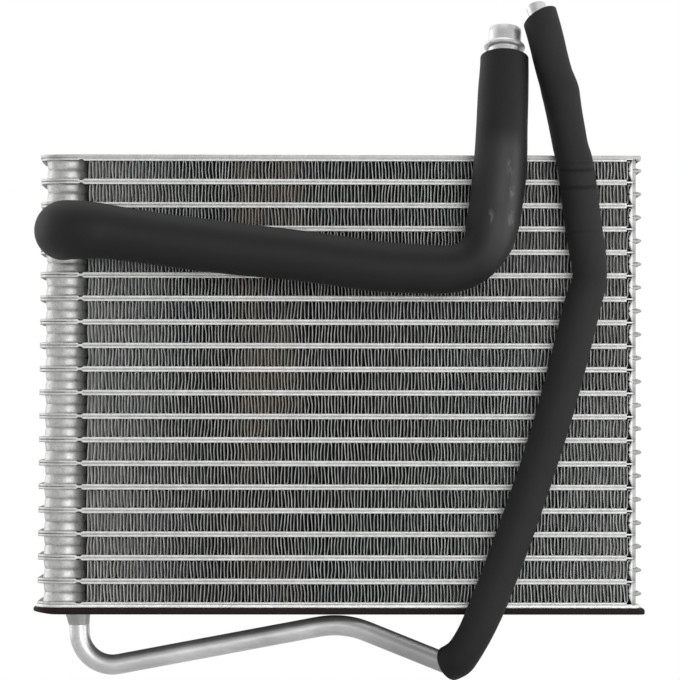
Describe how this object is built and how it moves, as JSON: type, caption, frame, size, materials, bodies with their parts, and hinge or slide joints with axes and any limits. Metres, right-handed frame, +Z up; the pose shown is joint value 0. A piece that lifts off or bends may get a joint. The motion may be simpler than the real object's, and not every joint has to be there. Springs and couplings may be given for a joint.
{
  "type": "air conditioner evaporator core",
  "caption": "Laminated plate-and-fin evaporator core with drawn tank cups, end plates, a foam pad and two foam-sleeved refrigerant pipes",
  "frame": {"origin": "centre of the foam pad's underside, where the core seats in its case", "axes": "+X to the right along the plates, +Y from the front face to the back, in the direction that the air crosses the core, +Z up"},
  "size_m": [0.2959, 0.1102, 0.3288],
  "materials": {
    "plates": "satin brazed sheet",
    "fins": "thin matte sheet",
    "end_plates": "satin sheet",
    "pipes": "satin drawn tube",
    "pad_foam": "matte closed-cell foam",
    "suction_foam": "smooth closed-cell foam",
    "liquid_foam": "matte closed-cell foam"
  },
  "bodies": {
    "root": {"bottom_drawn_plate": "plates", "plate_pair_01": "plates", "plate_pair_02": "plates", "plate_pair_03": "plates", "plate_pair_04": "plates", "plate_pair_05": "plates", "plate_pair_06": "plates", "plate_pair_07": "plates", "plate_pair_08": "plates", "plate_pair_09": "plates", "plate_pair_10": "plates", "plate_pair_11": "plates", "plate_pair_12": "plates", "plate_pair_13": "plates", "plate_pair_14": "plates", "plate_pair_15": "plates", "plate_pair_16": "plates", "plate_pair_17": "plates", "plate_pair_18": "plates", "top_drawn_plate": "plates", "fin_row_01": "fins", "fin_row_02": "fins", "fin_row_03": "fins", "fin_row_04": "fins", "fin_row_05": "fins", "fin_row_06": "fins", "fin_row_07": "fins", "fin_row_08": "fins", "fin_row_09": "fins", "fin_row_10": "fins", "fin_row_11": "fins", "fin_row_12": "fins", "fin_row_13": "fins", "fin_row_14": "fins", "fin_row_15": "fins", "fin_row_16": "fins", "fin_row_17": "fins", "fin_row_18": "fins", "fin_row_19": "fins", "bottom_end_plate": "end_plates", "top_end_plate": "end_plates", "foam_pad": "pad_foam", "suction_pipe": "pipes", "suction_collar": "pipes", "suction_sleeve": "suction_foam", "liquid_pipe": "pipes", "liquid_collar": "pipes", "liquid_sleeve": "liquid_foam"}
  },
  "joints": []
}
